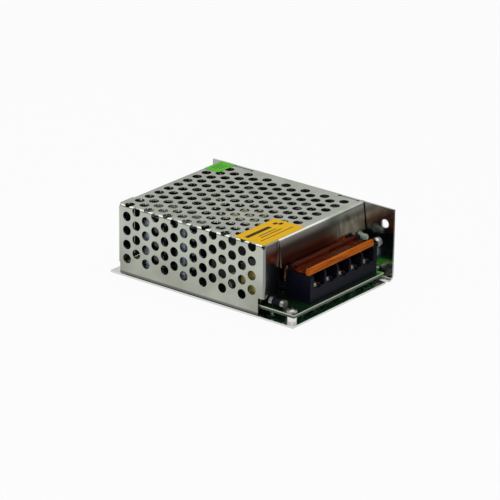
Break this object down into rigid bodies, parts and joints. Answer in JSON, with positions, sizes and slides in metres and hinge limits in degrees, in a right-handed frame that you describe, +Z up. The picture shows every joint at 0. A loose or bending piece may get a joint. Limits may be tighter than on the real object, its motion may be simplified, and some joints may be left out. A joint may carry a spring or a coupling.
{
  "type": "mesh case switching power supply",
  "caption": "Boxed mains power supply: folded base with a solid wall, perforated folded cover, circuit board and a screw terminal block under a hinged lid.",
  "frame": {"origin": "middle of the underside of the base sheet", "axes": "+X across the case to the solid wall, +Y along the case from the terminal end to the rear, +Z up"},
  "size_m": [0.078, 0.11, 0.0361],
  "materials": {
    "base_sheet": "satin, slightly mirror-like",
    "cover_sheet": "satin galvanised",
    "screw_steel": "bright plated",
    "terminal_metal": "bright plated",
    "board": "glossy solder mask",
    "block_plastic": "moulded, satin",
    "lid_plastic": "clear amber moulding",
    "trimmer_blue": "moulded",
    "trimmer_white": "moulded",
    "led_lens": "milky lens",
    "black_plastic": "moulded",
    "film_clear": "clear film",
    "yellow_coat": "dipped coat",
    "ferrite": "sintered",
    "copper_wire": "enamelled",
    "green_coat": "dipped coat",
    "can_sleeve": "shrink sleeve",
    "yellow_tape": "tape",
    "pad_grey": "silicone",
    "blue_coat": "dipped coat",
    "white_plastic": "moulded",
    "resistor_coat": "lacquered",
    "label_yellow": "printed film",
    "label_green": "printed film"
  },
  "bodies": {
    "case": {"base_chassis": "base_sheet", "mesh_cover": "cover_sheet", "cover_screws": "screw_steel", "earth_screw": "screw_steel", "board_posts": "screw_steel", "insulating_sheet": "film_clear", "circuit_board": "board", "board_screws": "screw_steel", "terminal_block": "block_plastic", "terminal_plates": "terminal_metal", "trimmer_body": "trimmer_blue", "status_led": "led_lens", "led_leads": "screw_steel", "fuse_tube": "black_plastic", "fuse_caps": "screw_steel", "varistor": "yellow_coat", "x_capacitor": "black_plastic", "filter_core": "ferrite", "filter_coils": "copper_wire", "thermistor": "green_coat", "bridge_rectifier": "black_plastic", "bulk_capacitors": "can_sleeve", "transformer_core": "ferrite", "transformer_bobbin": "black_plastic", "transformer_winding": "yellow_tape", "switch_transistor": "black_plastic", "output_diode": "black_plastic", "insulating_pads": "pad_grey", "transistor_screws": "screw_steel", "output_choke_core": "ferrite", "output_choke_coil": "copper_wire", "output_capacitors": "can_sleeve", "y_capacitor": "blue_coat", "optocoupler": "white_plastic", "control_chip": "black_plastic", "resistors": "resistor_coat", "small_capacitors": "can_sleeve", "front_label": "label_yellow", "rear_label": "label_green"},
    "lid": {"terminal_lid": "lid_plastic"},
    "rotor": {"trimmer_rotor": "trimmer_white"},
    "clamp_1": {"wire_clamp_1": "terminal_metal"},
    "screw_1": {"terminal_screw_1": "terminal_metal"},
    "clamp_2": {"wire_clamp_2": "terminal_metal"},
    "screw_2": {"terminal_screw_2": "terminal_metal"},
    "clamp_3": {"wire_clamp_3": "terminal_metal"},
    "screw_3": {"terminal_screw_3": "terminal_metal"},
    "clamp_4": {"wire_clamp_4": "terminal_metal"},
    "screw_4": {"terminal_screw_4": "terminal_metal"},
    "clamp_5": {"wire_clamp_5": "terminal_metal"},
    "screw_5": {"terminal_screw_5": "terminal_metal"}
  },
  "joints": [
    {"name": "lid_hinge", "type": "hinge", "parent": "case", "child": "lid", "pos_m": [0, -0.0412, 0.022], "axis": [-1, 0, 0], "range_deg": [0, 95]},
    {"name": "trimmer_turn", "type": "hinge", "parent": "case", "child": "rotor", "pos_m": [0.0334, -0.0414, 0.01], "axis": [0, -1, 0], "range_deg": [-130, 130]},
    {"name": "clamp_1_lift", "type": "slide", "parent": "case", "child": "clamp_1", "axis": [0, 0, 1], "range_m": [0, 0.0026]},
    {"name": "screw_1_turn", "type": "hinge", "parent": "clamp_1", "child": "screw_1", "pos_m": [-0.0155, -0.0473, 0.012], "axis": [0, 0, 1], "range_deg": [0, 1872]},
    {"name": "clamp_2_lift", "type": "slide", "parent": "case", "child": "clamp_2", "axis": [0, 0, 1], "range_m": [0, 0.0026]},
    {"name": "screw_2_turn", "type": "hinge", "parent": "clamp_2", "child": "screw_2", "pos_m": [-0.006, -0.0473, 0.012], "axis": [0, 0, 1], "range_deg": [0, 1872]},
    {"name": "clamp_3_lift", "type": "slide", "parent": "case", "child": "clamp_3", "axis": [0, 0, 1], "range_m": [0, 0.0026]},
    {"name": "screw_3_turn", "type": "hinge", "parent": "clamp_3", "child": "screw_3", "pos_m": [0.0035, -0.0473, 0.012], "axis": [0, 0, 1], "range_deg": [0, 1872]},
    {"name": "clamp_4_lift", "type": "slide", "parent": "case", "child": "clamp_4", "axis": [0, 0, 1], "range_m": [0, 0.0026]},
    {"name": "screw_4_turn", "type": "hinge", "parent": "clamp_4", "child": "screw_4", "pos_m": [0.013, -0.0473, 0.012], "axis": [0, 0, 1], "range_deg": [0, 1872]},
    {"name": "clamp_5_lift", "type": "slide", "parent": "case", "child": "clamp_5", "axis": [0, 0, 1], "range_m": [0, 0.0026]},
    {"name": "screw_5_turn", "type": "hinge", "parent": "clamp_5", "child": "screw_5", "pos_m": [0.0225, -0.0473, 0.012], "axis": [0, 0, 1], "range_deg": [0, 1872]}
  ],
  "couplings": [
    {"joint": "screw_1_turn", "follows": "clamp_1_lift", "rad_per_m": 12566},
    {"joint": "screw_2_turn", "follows": "clamp_2_lift", "rad_per_m": 12566},
    {"joint": "screw_3_turn", "follows": "clamp_3_lift", "rad_per_m": 12566},
    {"joint": "screw_4_turn", "follows": "clamp_4_lift", "rad_per_m": 12566},
    {"joint": "screw_5_turn", "follows": "clamp_5_lift", "rad_per_m": 12566}
  ]
}
